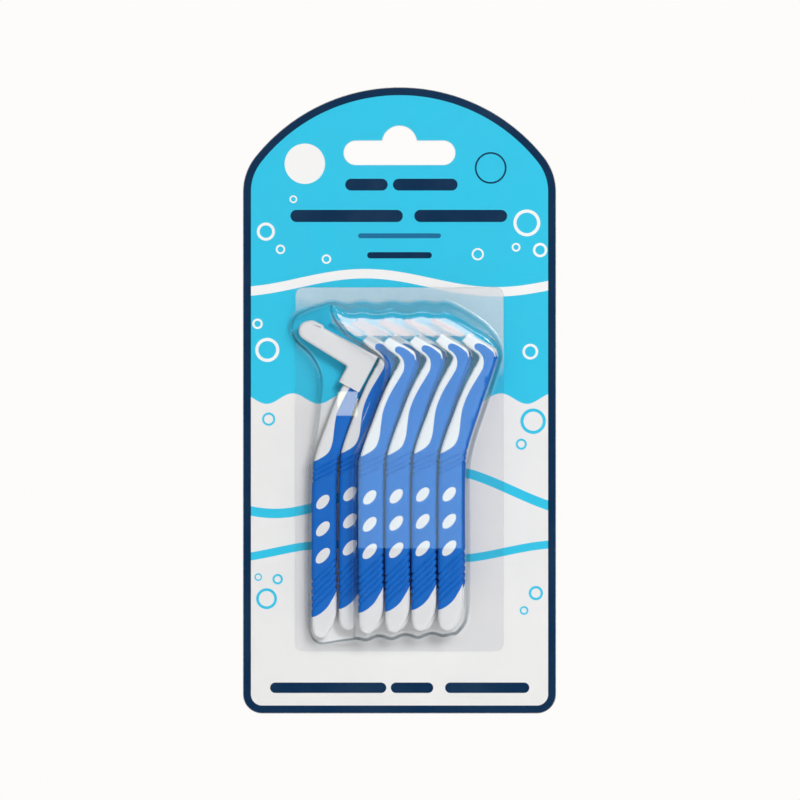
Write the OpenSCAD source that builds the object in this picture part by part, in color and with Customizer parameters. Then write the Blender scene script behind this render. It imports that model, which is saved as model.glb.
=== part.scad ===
// Carded blister pack with ten angled interdental brushes.
// X runs across the card, Z runs up it, and the front of the pack faces -Y.
// The origin is where the top of the hang slot rests on a hook, in the plane of the card's back.

/* [Card] */
// Width of the backing card
card_w = 90; // [84:1:110]
// Height of the backing card at its middle
card_h = 180; // [172:1:210]
// Thickness of the backing card
card_t = 0.6; // [0.4:0.1:1.2]
// Radius of the two lower corners
card_corner_r = 5.5; // [3:0.5:9]
// How much larger the arch's radius is than half the card's width
arch_extra = 8; // [4:1:16]
// Radius of the two shoulders
shoulder_r = 16; // [12:1:20]

/* [Hang slot] */
// Width of the hang slot
slot_w = 32; // [24:1:36]
// Height of the slot's long part
slot_h = 6.9; // [5:0.1:9]
// Radius of the round notch over the slot
notch_r = 5; // [4:0.1:6]
// How far the notch rises over the slot
notch_rise = 4.3; // [3.5:0.1:6]
// From the top of the card to the top of the notch
hang_drop = 11.1; // [10:0.1:14]

/* [Blister] */
// Width of the flat flange sealed to the card
flange_w = 60.1; // [60:0.1:72]
// Height of the flange
flange_h = 104.9; // [104:0.1:112]
// From the bottom of the card to the flange
flange_base = 17.7; // [12:0.1:18.5]
// Corner radius of the flange
flange_r = 2; // [1:0.1:4]
// Thickness of the formed sheet
sheet_t = 0.3; // [0.2:0.05:0.4]
// Lean of the bubble's walls, in degrees
draft = 5.5; // [4:0.5:7]
// Width of the bevel round the bubble's flat front
bubble_bevel = 0.9; // [0.5:0.1:1.2]
// Gap between the card and the flange
seal_gap = 0.02; // [0.01:0.01:0.1]
// Height of the ripples along the bubble's top
ripple_h = 0.35; // [0.1:0.05:0.6]
// Height of the scallops round the feet along the bubble's bottom
scallop_h = 0.55; // [0.1:0.05:0.7]

/* [Brush] */
// Width of the handle, to which the outline is drawn
handle_w = 7; // [6.6:0.1:7.2]
// Height of a brush from its foot to its head
brush_h = 84.8; // [80:0.2:87]
// Thickness of the handle
handle_t = 4.6; // [4.2:0.1:5]
// Thickness of the neck and head
neck_t = 3.6; // [3:0.1:4]
// Thickness of the soft grip over the core
grip_skin = 0.8; // [0.5:0.1:1]
// Depth of the grooves in the grip
groove_d = 0.25; // [0.1:0.05:0.4]
// Width of a groove
groove_w = 0.5; // [0.3:0.1:0.8]
// Half length of the middle oval window
dot_long = 2.58; // [1.8:0.02:2.7]
// Half width of an oval window
dot_short = 1.38; // [1:0.02:1.6]
// Distance between the oval windows
dot_pitch = 7.7; // [7:0.1:8.2]

/* [Wire and bristles] */
// Diameter of the twisted wire
wire_d = 0.4; // [0.3:0.05:0.6]
// Length of wire outside the head
wire_len = 10.5; // [9:0.1:11]
// Length of wire held in the head
wire_root = 4; // [3:0.1:4.5]
// Angle between the wire and the handle, in degrees
wire_tilt = 62; // [60:1:64]
// Radius of the brush at its root
tuft_r = 1.15; // [0.8:0.05:1.3]
// Radius of the brush at its tip
tuft_tip_r = 0.9; // [0.6:0.05:1.1]
// Thickness of one bristle
strand_d = 0.13; // [0.1:0.01:0.16]
// Number of bristles in a brush
strands = 40; // [30:1:44]

/* [Travel cap] */
// Wall of the cap
cap_wall = 0.5; // [0.4:0.05:0.6]
// Room between the cap and the brush inside it
cap_clear = 0.3; // [0.2:0.05:0.4]
// Width of the cap's long arm at the bend
cap_arm_w = 6.6; // [6.4:0.1:7]
// Width of the long arm at its tip
cap_tip_w = 5.6; // [5:0.1:6]
// Width of the cap's short leg
cap_leg_w = 6.55; // [6.4:0.05:6.8]
// Length of the short leg below the long arm
cap_leg_h = 5; // [4:0.1:6]
// Height of the grip rib near the tip
cap_rib_h = 0.6; // [0.3:0.1:0.8]

/* [Layout] */
// Foot of the back row over the bottom of the card
row_base = 24.2; // [23:0.1:26]
// Gap between neighbours in the back row
back_gap = 0.15; // [0.15:0.05:0.3]
// Gap between neighbours in the front row
front_gap = 0.43; // [0.35:0.01:0.6]
// How far the back row reaches past the front row on the right
back_out = 0.75; // [0.3:0.05:0.9]
// Middle of the rightmost front brush
front_last_x = 14.2; // [13.8:0.1:14.4]
// Extra gap beside the capped brush
capped_gap = 0.6; // [0.55:0.05:1.2]
// How far the capped brush sits below the others
capped_drop = 2.3; // [1.5:0.1:2.5]
// How far the left end of the front row sags
row_sag = 0.9; // [0:0.1:1]
// Gap between the card and the cap
card_gap = 0.2; // [0.1:0.05:0.5]
// Gap between the rows, and under the bubble's front
row_gap = 0.3; // [0.2:0.05:0.5]

/* [Hidden] */
back_count = 5;
front_count = 4;
brush_names = [for (k = [1 : back_count + front_count + 1]) str("brush_", k)];
piece_names = ["handle", "grip", "wire", "bristles"];
overrun = 0.5;
$fn = 96;

cyan_card = [0.25, 0.76, 0.91];
white_core = [0.92, 0.92, 0.93];
grip_blue = [0.06, 0.4, 0.78];
steel = [0.72, 0.73, 0.75];
nylon = [0.93, 0.95, 0.97];
clear_sheet = [0.8, 0.9, 0.95, 0.35];

arch_r = card_w / 2 + arch_extra;
hang_z = card_h - hang_drop;
slot_top = hang_z - notch_rise;

// Depths, measured towards the front
cap_t = neck_t + 2 * (cap_clear + cap_wall);
back_y = card_t + card_gap + cap_t / 2;
front_y = back_y + handle_t + row_gap;
sheet_y = card_t + seal_gap;
low_y = back_y + cap_t / 2 + row_gap + sheet_t;
high_y = front_y + handle_t / 2 + row_gap + sheet_t;

// Places of the ten brushes: the capped one, the rest of the back row, then the front row
body_share = 1.02;
body_w = body_share * handle_w;
back_pitch = body_w + back_gap;
front_pitch = body_w + front_gap;
second_x = front_last_x + back_out - front_count * back_pitch;
back_x = [for (i = [0 : back_count - 1]) second_x + i * back_pitch];
capped_x = second_x - body_w - capped_gap;
front_x = [for (i = [0 : front_count - 1]) front_last_x - (front_count - 1 - i) * front_pitch];
sag_shares = [1, 0.64, 0.1, 0];
front_z = [for (s = sag_shares) row_base - s * row_sag];

// One place for each brush, in the order of their numbers: [x, depth, foot]
places = concat(
    [[capped_x, back_y, row_base - capped_drop]],
    [[back_x[0], back_y, row_base]],
    [for (i = [0 : front_count - 1]) [front_x[i], front_y, front_z[i]]],
    [for (i = [1 : back_count - 1]) [back_x[i], back_y, row_base]]
);

// Outline of a brush from the front, as shares of the handle's width and the brush's height
left_shares = [
    [-0.13, 0], [-0.35, 0.01], [-0.44, 0.032], [-0.457, 0.07], [-0.455, 0.19], [-0.45, 0.37],
    [-0.435, 0.51], [-0.371, 0.597], [-0.129, 0.664], [0.143, 0.723], [0.414, 0.782],
    [0.729, 0.841], [1.129, 0.9], [1.2, 0.927]
];
head_shares = [[0.757, 0.957], [0.52, 0.976], [0.66, 0.993], [0.8, 1]];
right_shares = [
    [1.714, 0.957], [1.86, 0.942], [1.893, 0.923], [1.836, 0.9], [1.56, 0.841], [1.3, 0.782],
    [1.07, 0.723], [0.83, 0.664], [0.624, 0.6], [0.55, 0.51], [0.545, 0.37], [0.55, 0.23],
    [0.558, 0.15], [0.555, 0.1], [0.525, 0.074], [0.43, 0.05], [0.3, 0.028], [0.16, 0.01], [0.02, 0.001]
];
// Edges of the blue grip: across the foot, round its tip on the head, and down the neck
grip_foot_shares = [
    [-0.9, 0.068], [-0.5, 0.07], [-0.29, 0.074], [-0.03, 0.087], [0.19, 0.105], [0.37, 0.129],
    [0.53, 0.154], [0.9, 0.23]
];
grip_tip_shares = [
    [2.4, 0.917], [1.9, 0.921], [1.8, 0.938], [1.486, 0.959], [1.229, 0.968], [1.086, 0.966],
    [1.029, 0.958], [1.071, 0.948], [1.2, 0.941], [1.37, 0.923], [1.414, 0.902]
];
grip_neck_shares = [
    [1.371, 0.883], [1.171, 0.855], [0.886, 0.816], [0.671, 0.779], [0.529, 0.744],
    [0.457, 0.704], [0.386, 0.659], [0.214, 0.626], [-0.121, 0.606], [-0.371, 0.597], [-0.9, 0.588]
];
// Side view: half thickness grows from the foot and falls along the neck, as shares of the height
foot_share = 0.025;
neck_low_share = 0.62;
neck_high_share = 0.75;
dot_mid_share = 0.369;
dot_tilt = 49;
dot_grow = 0.12;
// Grooves: [height share, lean in degrees]
groove_shares = [
    [0.548, 25], [0.565, 25], [0.582, 25],
    [0.225, 42], [0.202, 42], [0.179, 42], [0.156, 42], [0.133, 42]
];
// Where the wire leaves the head
exit_share = [0.593, 0.991];
// Where the cap's arm and its open side lie beside the wire
cap_top_share = 0.349;
cap_open_share = 1.694;
cap_tip_room = 1.54;
// The rib on the cap's arm: where it lies and how long and wide it is
rib_mid_share = 0.7;
rib_long_share = 0.34;
rib_wide_share = 0.6;

// Points between two given ones on a curve, and windows' corners in degrees
steps = 2;
oval_step = 15;

// Fit of the wire in its bore, and the sleeve that joins the bristles
wire_fit = 0.01;
sleeve_wall = 0.1;
tuft_start = 0.8;
tuft_end = 0.2;
strand_turn = 67.5;

// Curve through points, by Catmull and Rom
function bend(a, b, c, d, t) =
    0.5 * (2 * b + (c - a) * t + (2 * a - 5 * b + 4 * c - d) * t * t
    + (3 * b - a - 3 * c + d) * t * t * t);
function curve(p, n = steps) = concat(
    [for (i = [0 : len(p) - 2]) for (s = [0 : n - 1])
        bend(p[max(i - 1, 0)], p[i], p[i + 1], p[min(i + 2, len(p) - 1)], s / n)],
    [p[len(p) - 1]]
);
function sized(p) = [for (q = p) [q.x * handle_w, q.y * brush_h]];
function unit(v) = v / norm(v);
// Moves every point of a closed outline inwards; the outline runs clockwise
function inset(p, by) = [
    for (i = [0 : len(p) - 1])
        let (
            n = len(p),
            a = unit(p[i] - p[(i + n - 1) % n]),
            b = unit(p[(i + 1) % n] - p[i]),
            m = unit([a.y + b.y, -a.x - b.x]),
            grow = max(0.6, m.x * a.y - m.y * a.x)
        )
        p[i] + m * by / grow
];

// The same outline with its left and right edges drawn in, and the head as it is
function outline(by = 0) =
    let (
        l = curve(sized(left_shares)),
        r = curve(sized(right_shares)),
        all = concat(l, sized(head_shares), r),
        drawn = by == 0 ? all : inset(all, by),
        keep_from = len(l) - 2 * steps,
        keep_to = len(l) + len(head_shares) + 3 * steps
    )
    [for (i = [0 : len(all) - 1]) i >= keep_from && i <= keep_to ? all[i] : drawn[i]];

// A flat shape in X and Z, given a thickness along Y about the middle
module slab(t) {
    rotate([90, 0, 0])
        linear_extrude(height = t, center = true)
            children();
}

// The brush's thickness seen from the side, less a skin on each face
module side_form(skin = 0) {
    thick = handle_t / 2 - skin;
    thin = neck_t / 2 - skin;
    foot = thick - foot_share * brush_h / 2;
    wide = 8 * handle_w;
    rotate([90, 0, 90])
        linear_extrude(height = wide, center = true)
            polygon([
                [-foot, -overrun], [-foot, 0], [-thick, foot_share * brush_h],
                [-thick, neck_low_share * brush_h], [-thin, neck_high_share * brush_h],
                [-thin, brush_h + overrun], [thin, brush_h + overrun],
                [thin, neck_high_share * brush_h], [thick, neck_low_share * brush_h],
                [thick, foot_share * brush_h], [foot, 0], [foot, -overrun]
            ]);
}

module grip_mask() {
    polygon(concat(
        curve(sized(grip_foot_shares), 2),
        [[2.4 * handle_w, 0.23 * brush_h]],
        sized(grip_tip_shares),
        curve(sized(grip_neck_shares), 2)
    ));
}

module dots() {
    for (i = [-1 : 1])
        translate([0, dot_mid_share * brush_h + i * dot_pitch])
            rotate(dot_tilt)
                polygon([
                    for (a = [0 : oval_step : 360 - oval_step])
                        [(dot_long - i * dot_grow) * cos(a), dot_short * sin(a)]
                ]);
}

// The white core under the grip
module core_form() {
    intersection() {
        slab(2 * handle_t) polygon(outline(grip_skin));
        side_form(grip_skin);
    }
}

module full_form() {
    intersection() {
        slab(2 * handle_t) children();
        side_form();
    }
}

// Frame of the brush head: local Z runs out along the wire, local X away from the handle
module head_frame() {
    translate([exit_share.x * handle_w, 0, exit_share.y * brush_h])
        rotate([0, -wire_tilt, 0])
            children();
}

module brush_handle() {
    difference() {
        union() {
            core_form();
            full_form() difference() {
                polygon(outline());
                grip_mask();
            }
            full_form() dots();
        }
        head_frame()
            translate([0, 0, -wire_root])
                cylinder(h = wire_root + 2 * overrun, d = wire_d + 2 * wire_fit);
    }
}

module brush_grip() {
    difference() {
        full_form() difference() {
            intersection() {
                polygon(outline());
                grip_mask();
            }
            dots();
        }
        core_form();
        difference() {
            for (g = groove_shares)
                translate([0, 0, g.x * brush_h])
                    rotate([0, -g.y, 0])
                        cube([3 * handle_w, 2 * handle_t, groove_w], center = true);
            intersection() {
                slab(2 * handle_t) polygon(outline(groove_d));
                side_form(groove_d);
            }
        }
    }
}

module brush_wire() {
    head_frame()
        translate([0, 0, -wire_root])
            cylinder(h = wire_root + wire_len, d = wire_d);
}

module brush_bristles() {
    span = wire_len - tuft_start - tuft_end;
    step = span / strands;
    head_frame()
        difference() {
            union() {
                translate([0, 0, tuft_start])
                    cylinder(h = span, d = wire_d + 2 * (wire_fit + sleeve_wall));
                for (i = [0 : strands - 1])
                    let (r = tuft_r + (tuft_tip_r - tuft_r) * i / strands)
                        translate([0, 0, tuft_start + (i + 0.5) * step])
                            rotate([0, 0, i * strand_turn])
                                rotate([0, 90, 0])
                                    cylinder(h = 2 * r, d = strand_d, center = true, $fn = 3);
            }
            translate([0, 0, -overrun])
                cylinder(h = wire_len + 2 * overrun, d = wire_d + 2 * wire_fit);
        }
}

// The cap's outline, less a wall, in the frame of the brush head: [across, along]
module cap_outline(wall = 0) {
    top = cap_top_share * handle_w - wall;
    open = -cap_open_share * handle_w - (wall > 0 ? overrun : 0);
    leg = -cap_open_share * handle_w + cap_leg_w - wall;
    low = cap_top_share * handle_w - cap_arm_w + wall;
    foot = low - wall - cap_leg_h - (wall > 0 ? overrun : 0);
    tip_r = cap_tip_w / 2 - wall;
    tip_mid = cap_top_share * handle_w - cap_tip_w / 2;
    tip_end = wire_len + cap_tip_room - cap_tip_w / 2;
    union() {
        polygon([
            [top, open], [top, tip_end], [tip_mid - tip_r, tip_end], [low, leg],
            [foot, leg], [foot, open]
        ]);
        translate([tip_mid, tip_end]) circle(r = tip_r);
    }
}

module travel_cap() {
    color(white_core)
        head_frame()
            difference() {
                union() {
                    slab(cap_t) cap_outline();
                    translate([cap_top_share * handle_w - cap_wall / 2, 0, rib_mid_share * wire_len])
                        cube([
                            cap_wall + 2 * cap_rib_h,
                            rib_wide_share * cap_t,
                            rib_long_share * wire_len
                        ], center = true);
                }
                slab(cap_t - 2 * cap_wall) cap_outline(cap_wall);
            }
}

// Card

module card_outline() {
    shoulder_x = card_w / 2 - shoulder_r;
    arch_z = card_h - arch_r;
    shoulder_z = arch_z + sqrt(pow(arch_r - shoulder_r, 2) - shoulder_x * shoulder_x);
    reach = arch_r / (arch_r - shoulder_r);
    touch = [shoulder_x * reach, arch_z + (shoulder_z - arch_z) * reach];
    union() {
        translate([-card_w / 2, card_corner_r])
            square([card_w, shoulder_z - card_corner_r]);
        translate([-card_w / 2 + card_corner_r, 0])
            square([card_w - 2 * card_corner_r, 2 * card_corner_r]);
        for (s = [-1, 1]) {
            translate([s * (card_w / 2 - card_corner_r), card_corner_r]) circle(r = card_corner_r);
            translate([s * shoulder_x, shoulder_z]) circle(r = shoulder_r);
        }
        intersection() {
            translate([0, arch_z]) circle(r = arch_r);
            polygon([
                [0, arch_z], touch, [touch.x, card_h + arch_r],
                [-touch.x, card_h + arch_r], [-touch.x, touch.y]
            ]);
        }
    }
}

module hang_slot() {
    half = slot_w / 2 - slot_h / 2;
    union() {
        translate([-half, slot_top - slot_h]) square([2 * half, slot_h]);
        for (s = [-1, 1])
            translate([s * half, slot_top - slot_h / 2]) circle(r = slot_h / 2);
        translate([0, hang_z - notch_r]) circle(r = notch_r);
    }
}

module backing_card() {
    color(cyan_card)
        translate([0, -card_t / 2, 0])
            slab(card_t)
                difference() {
                    card_outline();
                    hang_slot();
                }
}

// Blister

// Bubble outlines hang on the first, the last and the third brush, and on the row's foot.
// On the left the bubble stands off the first brush by the lobe's room.
lobe_room = 0.16;
function by_first(s) = [capped_x - lobe_room + s.x * handle_w, row_base + s.y * brush_h];
function by_last(s) = [front_last_x + s.x * handle_w, row_base + s.y * brush_h];
function by_third(s) = [front_x[0] + s.x * handle_w, row_base + s.y * brush_h];

lobe_shares = [
    [-0.615, 0.025], [-0.615, 0.27], [-0.615, 0.54], [-0.51, 0.585], [-0.28, 0.676], [-0.15, 0.777],
    [-0.09, 0.828], [-0.186, 0.88], [-0.571, 0.932], [-0.986, 0.962], [-1.257, 0.995],
    [-1.3, 1.028], [-1.129, 1.067], [-0.571, 1.09], [0.12, 1.108]
];
right_side_shares = [
    [-0.2, 1.113], [0.114, 1.106], [0.814, 1.075], [1.429, 1.039], [1.914, 0.994],
    [2.19, 0.947], [2.18, 0.912], [1.93, 0.844], [1.67, 0.779], [1.41, 0.717], [1.16, 0.656],
    [0.96, 0.593], [0.85, 0.517], [0.87, 0.3], [0.85, 0.075], [0.66, 0.012], [0.3, -0.02]
];
foot_shares = [
    [1.129, -0.038], [0.714, -0.042], [0.171, -0.05], [-0.16, -0.05], [-0.44, -0.032], [-0.575, -0.006]
];
step_shares = [
    [-0.76, 0.05], [-0.76, 0.3], [-0.76, 0.56], [-0.61, 0.615], [-0.36, 0.66], [-0.07, 0.712],
    [0.2, 0.771], [0.47, 0.828], [0.56, 0.87], [0.47, 0.905], [-0.286, 0.95], [-0.87, 0.984],
    [-1.21, 1.012], [-1.57, 1.047], [-1.7, 1.075]
];
// The flange's round rim where the bubble passes its left edge
lobe_mid_share = [-0.75, 1.03];
lobe_share = 0.55;
lobe_rim = 1.2;
ripples = 4;
ripple_points = 24;
scallop_points = 28;
// The lowest place of a foot
toe_share = -0.18;

// The top wall leans back more than the others: its lean, and where that starts and is full
top_lean = 0.23;
lean_from = by_first([0.3, 0.94]);
lean_full = by_first([1.44, 1.06]);

function ramp(v, a, b) =
    let (t = min(max((v - a) / (b - a), 0), 1))
    t * t * (3 - 2 * t);
function leaned(q, rise) =
    [
        q.x,
        q.y - top_lean * rise * ramp(q.x, lean_from.x, lean_full.x) * ramp(q.y, lean_from.y, lean_full.y)
    ];

// A rippled run from one point to another
function rippled(a, b, n = ripple_points, waves = ripples) = [
    for (i = [1 : n - 1])
        let (t = i / n)
        a + (b - a) * t + [0, ripple_h * sin(360 * waves * t)]
];

// A run along the feet of the front row, which dips under each of them
function scalloped(a, b, n = scallop_points) = [
    for (i = [1 : n - 1])
        let (
            t = i / n,
            q = a + (b - a) * t,
            turn = 360 * (q.x - front_last_x - toe_share * handle_w) / front_pitch,
            fade = min(1, 8 * t * (1 - t))
        )
        q - [0, fade * scallop_h * cos(turn)]
];

right_side = curve([for (s = right_side_shares) by_last(s)], 2);
lobe = curve([for (s = lobe_shares) by_first(s)], 2);
foot = curve([for (s = foot_shares) by_first(s)], 2);
step_side = curve([for (s = step_shares) by_third(s)], 2);

// The whole bubble, clockwise from the foot of its left side
bubble_outline = concat(
    lobe,
    rippled(lobe[len(lobe) - 1], right_side[0]),
    right_side,
    scalloped(right_side[len(right_side) - 1], foot[0]),
    foot
);
// The high part over the front row: its left side, and far beyond the bubble elsewhere
step_outline = concat(
    step_side,
    [
        [step_side[len(step_side) - 1].x, card_h],
        [card_w, card_h],
        [card_w, -overrun],
        [step_side[0].x, -overrun]
    ]
);

// A drafted block with a bevelled front, from the back of the sheet to depth y
module bubble(points, y, wall) {
    n = len(points);
    rise = y - wall - sheet_y;
    straight = rise - bubble_bevel;
    back = wall > 0 ? -overrun : 0;
    rings = [
        [inset(points, wall + back * tan(draft)), back],
        [inset(points, wall + straight * tan(draft)), straight],
        [inset(points, wall + straight * tan(draft) + bubble_bevel), rise]
    ];
    verts = [
        for (r = rings) for (p = r[0])
            let (q = leaned(p, max(r[1], 0)))
            [q.x, -sheet_y - r[1], q.y]
    ];
    polyhedron(
        points = verts,
        faces = concat(
            [[for (i = [n - 1 : -1 : 0]) i]],
            [for (k = [0 : len(rings) - 2]) for (i = [0 : n - 1])
                let (j = (i + 1) % n, a = k * n, b = a + n)
                each [[a + j, b + j, b + i], [a + j, b + i, a + i]]],
            [[for (i = [0 : n - 1]) (len(rings) - 1) * n + i]]
        )
    );
}

module flange() {
    lobe_mid = by_first(lobe_mid_share);
    lobe_r = lobe_share * handle_w + lobe_rim;
    translate([0, -sheet_y - sheet_t / 2, 0])
        slab(sheet_t)
            union() {
                translate([-flange_w / 2 + flange_r, flange_base])
                    square([flange_w - 2 * flange_r, flange_h]);
                translate([-flange_w / 2, flange_base + flange_r])
                    square([flange_w, flange_h - 2 * flange_r]);
                for (x = [-1, 1]) for (z = [0, 1])
                    translate([
                        x * (flange_w / 2 - flange_r),
                        flange_base + flange_r + z * (flange_h - 2 * flange_r)
                    ])
                        circle(r = flange_r);
                translate(lobe_mid) circle(r = lobe_r);
            }
}

// The space under the sheet, or with no wall the block that the sheet goes round
module bubble_form(wall = 0) {
    intersection() {
        bubble(bubble_outline, high_y, wall);
        union() {
            translate([-card_w, wall - low_y, -overrun])
                cube([2 * card_w, 2 * low_y, card_h + 2 * overrun]);
            bubble(step_outline, high_y + overrun, wall);
        }
    }
}

module blister() {
    color(clear_sheet)
        difference() {
            union() {
                flange();
                bubble_form();
            }
            bubble_form(sheet_t);
        }
}

module placed(k) {
    translate([places[k].x, -places[k].y, places[k].z])
        children();
}

module brush_piece(kind) {
    if (kind == "handle") color(white_core) brush_handle();
    if (kind == "grip") color(grip_blue) brush_grip();
    if (kind == "wire") color(steel) brush_wire();
    if (kind == "bristles") color(nylon) brush_bristles();
}

module hung() {
    translate([0, 0, -hang_z]) children();
}

hung() backing_card();
hung() blister();
hung() placed(0) travel_cap();
for (k = [0 : len(brush_names) - 1])
    for (p = piece_names)
        hung() placed(k) brush_piece(p);
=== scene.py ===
import math

import bmesh
import bpy
import numpy as np
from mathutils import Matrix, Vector


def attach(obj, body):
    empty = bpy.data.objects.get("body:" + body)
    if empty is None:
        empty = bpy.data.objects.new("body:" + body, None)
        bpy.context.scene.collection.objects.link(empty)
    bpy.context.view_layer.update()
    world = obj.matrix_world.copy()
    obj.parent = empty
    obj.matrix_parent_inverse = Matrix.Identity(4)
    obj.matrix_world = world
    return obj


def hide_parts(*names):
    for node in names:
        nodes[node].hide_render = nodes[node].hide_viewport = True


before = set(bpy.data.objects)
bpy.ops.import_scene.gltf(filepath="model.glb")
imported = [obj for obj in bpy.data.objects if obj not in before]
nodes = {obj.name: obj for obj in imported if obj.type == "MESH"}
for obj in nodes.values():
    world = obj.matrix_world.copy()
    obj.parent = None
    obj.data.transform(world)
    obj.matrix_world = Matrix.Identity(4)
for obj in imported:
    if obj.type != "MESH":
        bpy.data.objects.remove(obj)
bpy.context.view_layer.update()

# Lengths are in mm, but those of bumps and of the studio are in metres. The card's heights are over
# its bottom, and a brush's are over its foot.
MM = 0.001
HANG = 168.9  # height of the origin over the bottom of the card

CARD_HALF, CORNER_R, BORDER = 45, 5.5, 2.3
ARCH_R, ARCH_Z = 53, 127
SHOULDER_R, SHOULDER_X, SHOULDER_Z = 16, 29, 149.98
NOTCH_R, SLOT_R, SLOT_HALF, SLOT_DROP = 5, 3.45, 12.55, 4.3
FLANGE_FRONT = 0.92  # depth of the film's outer face where it is sealed to the card
FLANGE_LIMIT = 1.05  # what lies deeper than this is bubble
FILM_T = 0.3

HANDLE_W, BRUSH_H = 7.0, 84.8
LEAD = 0.95  # of the wire's twist


# Curves

def curve(points, n):
    """Points of a Catmull-Rom curve through the given ones."""
    p = np.asarray(points, float)
    out = []
    for i in range(len(p) - 1):
        a, b, c, d = p[max(i - 1, 0)], p[i], p[i + 1], p[min(i + 2, len(p) - 1)]
        for t in np.arange(n) / n:
            out.append(0.5 * (2 * b + (c - a) * t + (2 * a - 5 * b + 4 * c - d) * t * t
                              + (3 * b - a - 3 * c + d) * t ** 3))
    out.append(p[-1])
    return np.array(out)


def along(points, shares):
    """Points at shares of a polyline's length."""
    gaps = np.linalg.norm(np.diff(points, axis=0), axis=1)
    run = np.concatenate([[0], np.cumsum(gaps)])
    at = np.asarray(shares) * run[-1]
    return np.stack([np.interp(at, run, points[:, k]) for k in range(points.shape[1])], 1)


def polygon_field(poly, q):
    """Distance of the points q to a polygon's edge, positive inside."""
    best = np.full(len(q), np.inf)
    inside = np.zeros(len(q), bool)
    for s, e in zip(poly, np.roll(poly, -1, axis=0)):
        d = e - s
        t = np.clip(((q - s) @ d) / max(d @ d, 1e-12), 0, 1)
        best = np.minimum(best, np.linalg.norm(q - s - t[:, None] * d, axis=1))
        if s[1] != e[1]:
            x = s[0] + (q[:, 1] - s[1]) / (e[1] - s[1]) * d[0]
            inside ^= ((s[1] > q[:, 1]) != (e[1] > q[:, 1])) & (q[:, 0] < x)
    return np.where(inside, best, -best)


def smooth(t):
    """A soft step from 0 to 1."""
    t = np.clip(t, 0, 1)
    return t * t * (3 - 2 * t)


def rounded(points, radii, n=6):
    """A closed outline with its corners rounded."""
    out = []
    p = np.asarray(points, float)
    for i, r in enumerate(radii):
        a, b, c = p[i - 1], p[i], p[(i + 1) % len(p)]
        if r == 0:
            out.append(b)
            continue
        u, v = (a - b) / np.linalg.norm(a - b), (c - b) / np.linalg.norm(c - b)
        half = math.acos(np.clip(u @ v, -1, 1)) / 2
        cut = min(r / math.tan(half), 0.48 * np.linalg.norm(a - b), 0.48 * np.linalg.norm(c - b))
        for t in np.linspace(0, 1, n):
            out.append((1 - t) ** 2 * (b + u * cut) + 2 * t * (1 - t) * b + t * t * (b + v * cut))
    return np.array(out)


def inset(p, by):
    """A closed outline moved inwards; it runs clockwise."""
    a = p - np.roll(p, 1, axis=0)
    b = np.roll(p, -1, axis=0) - p
    a /= np.linalg.norm(a, axis=1, keepdims=True)
    b /= np.linalg.norm(b, axis=1, keepdims=True)
    m = np.stack([a[:, 1] + b[:, 1], -a[:, 0] - b[:, 0]], 1)
    m /= np.linalg.norm(m, axis=1, keepdims=True)
    grow = np.maximum(0.6, m[:, 0] * a[:, 1] - m[:, 1] * a[:, 0])
    return p + m * (by / grow)[:, None]


# Materials

def feed(tree, socket, value):
    """Links a socket to a Num or an output, or sets it to a plain value."""
    if isinstance(value, Num):
        tree.links.new(value.socket, socket)
    elif isinstance(value, bpy.types.NodeSocket):
        tree.links.new(value, socket)
    else:
        socket.default_value = value


class Num:
    """A number in a node tree, with Python's own arithmetic."""

    def __init__(self, tree, socket):
        self.tree, self.socket = tree, socket

    def math(self, op, *others, clamp=False):
        n = self.tree.nodes.new("ShaderNodeMath")
        n.operation = op
        n.use_clamp = clamp
        for socket, value in zip(n.inputs, (self, *others)):
            feed(self.tree, socket, value)
        return Num(self.tree, n.outputs[0])

    def __add__(self, other):
        return self.math("ADD", other)

    __radd__ = __add__

    def __sub__(self, other):
        return self.math("SUBTRACT", other)

    def __rsub__(self, other):
        return self * -1.0 + other

    def __mul__(self, other):
        return self.math("MULTIPLY", other)

    def __truediv__(self, other):
        return self.math("DIVIDE", other)

    def abs(self):
        return self.math("ABSOLUTE")

    def sin(self):
        return self.math("SINE")

    def cos(self):
        return self.math("COSINE")

    def sqrt(self):
        return self.math("SQRT")

    def min(self, other):
        return self.math("MINIMUM", other)

    def max(self, other):
        return self.math("MAXIMUM", other)

    def over(self, other):
        return self.math("GREATER_THAN", other)

    def under(self, other):
        return self.math("LESS_THAN", other)

    def clamped(self, plus=0):
        """This with something added, kept from 0 to 1."""
        return self.math("ADD", plus, clamp=True)

    def cover(self, width=0.12):
        """From 0 to 1 where this passes zero, over a soft edge of the given width."""
        return (self / width).clamped(0.5)


def hypot(a, b):
    return (a * a + b * b).sqrt()


def most(fields):
    """The largest of several numbers."""
    out = fields[0]
    for field in fields[1:]:
        out = out.max(field)
    return out


def rgb(r, g, b):
    """A colour from its sRGB bytes."""
    out = []
    for c in (r, g, b):
        c /= 255
        out.append(c / 12.92 if c <= 0.04045 else ((c + 0.055) / 1.055) ** 2.4)
    return (*out, 1)


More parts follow.
